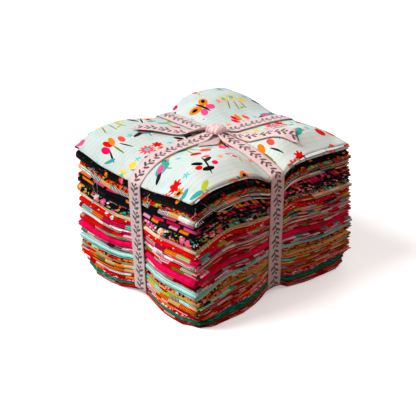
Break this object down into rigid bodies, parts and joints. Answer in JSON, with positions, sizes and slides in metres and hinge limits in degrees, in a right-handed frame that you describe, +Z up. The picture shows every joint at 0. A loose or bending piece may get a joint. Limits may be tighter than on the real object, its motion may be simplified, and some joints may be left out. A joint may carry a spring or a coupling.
{
  "type": "fat quarter bundle",
  "caption": "Stack of folded quilting cottons tied both ways with a flat ribbon, its top puffed between the ties.",
  "frame": {"origin": "centre of the bundle's footprint, on the surface that it stands on", "axes": "+Z up; X along the rounded fold edges of the front face, Y along the cut edges of the side face"},
  "size_m": [0.1614, 0.1963, 0.1433],
  "materials": {
    "fat_quarter_01": "matt quilting cotton, pale mint white print",
    "fat_quarter_02": "matt quilting cotton, black with sparse pink motifs",
    "fat_quarter_03": "matt quilting cotton, black, red and teal print",
    "fat_quarter_04": "matt quilting cotton, white and black bars with orange",
    "fat_quarter_05": "matt quilting cotton, black with pink dashes",
    "fat_quarter_06": "matt quilting cotton, charcoal texture",
    "fat_quarter_07": "matt quilting cotton, black floral",
    "fat_quarter_08": "matt quilting cotton, cream and peach stripe",
    "fat_quarter_09": "matt quilting cotton, bright red",
    "fat_quarter_10": "matt quilting cotton, teal, pink and orange blocks",
    "fat_quarter_11": "matt quilting cotton, white with magenta stripes",
    "fat_quarter_12": "matt quilting cotton, coral with pink and white blocks",
    "fat_quarter_13": "matt quilting cotton, magenta",
    "fat_quarter_14": "matt quilting cotton, white, lavender and pink print",
    "fat_quarter_15": "matt quilting cotton, mint and white lines",
    "fat_quarter_16": "matt quilting cotton, black, orange and mint print",
    "fat_quarter_17": "matt quilting cotton, tan",
    "fat_quarter_18": "matt quilting cotton, mint stripes with lime",
    "fat_quarter_19": "matt quilting cotton, orange with cream stripes",
    "fat_quarter_20": "matt quilting cotton, white and lavender print",
    "fat_quarter_21": "matt quilting cotton, orange and pink print",
    "fat_quarter_22": "matt quilting cotton, pink and white print",
    "fat_quarter_23": "matt quilting cotton, deep green and teal",
    "fat_quarter_24": "matt quilting cotton, red print",
    "ribbon": "matt pale pink cotton tape"
  },
  "bodies": {
    "root": {"fat_quarter_01": "fat_quarter_01", "fat_quarter_02": "fat_quarter_02", "fat_quarter_03": "fat_quarter_03", "fat_quarter_04": "fat_quarter_04", "fat_quarter_05": "fat_quarter_05", "fat_quarter_06": "fat_quarter_06", "fat_quarter_07": "fat_quarter_07", "fat_quarter_08": "fat_quarter_08", "fat_quarter_09": "fat_quarter_09", "fat_quarter_10": "fat_quarter_10", "fat_quarter_11": "fat_quarter_11", "fat_quarter_12": "fat_quarter_12", "fat_quarter_13": "fat_quarter_13", "fat_quarter_14": "fat_quarter_14", "fat_quarter_15": "fat_quarter_15", "fat_quarter_16": "fat_quarter_16", "fat_quarter_17": "fat_quarter_17", "fat_quarter_18": "fat_quarter_18", "fat_quarter_19": "fat_quarter_19", "fat_quarter_20": "fat_quarter_20", "fat_quarter_21": "fat_quarter_21", "fat_quarter_22": "fat_quarter_22", "fat_quarter_23": "fat_quarter_23", "fat_quarter_24": "fat_quarter_24", "ribbon": "ribbon"}
  },
  "joints": []
}
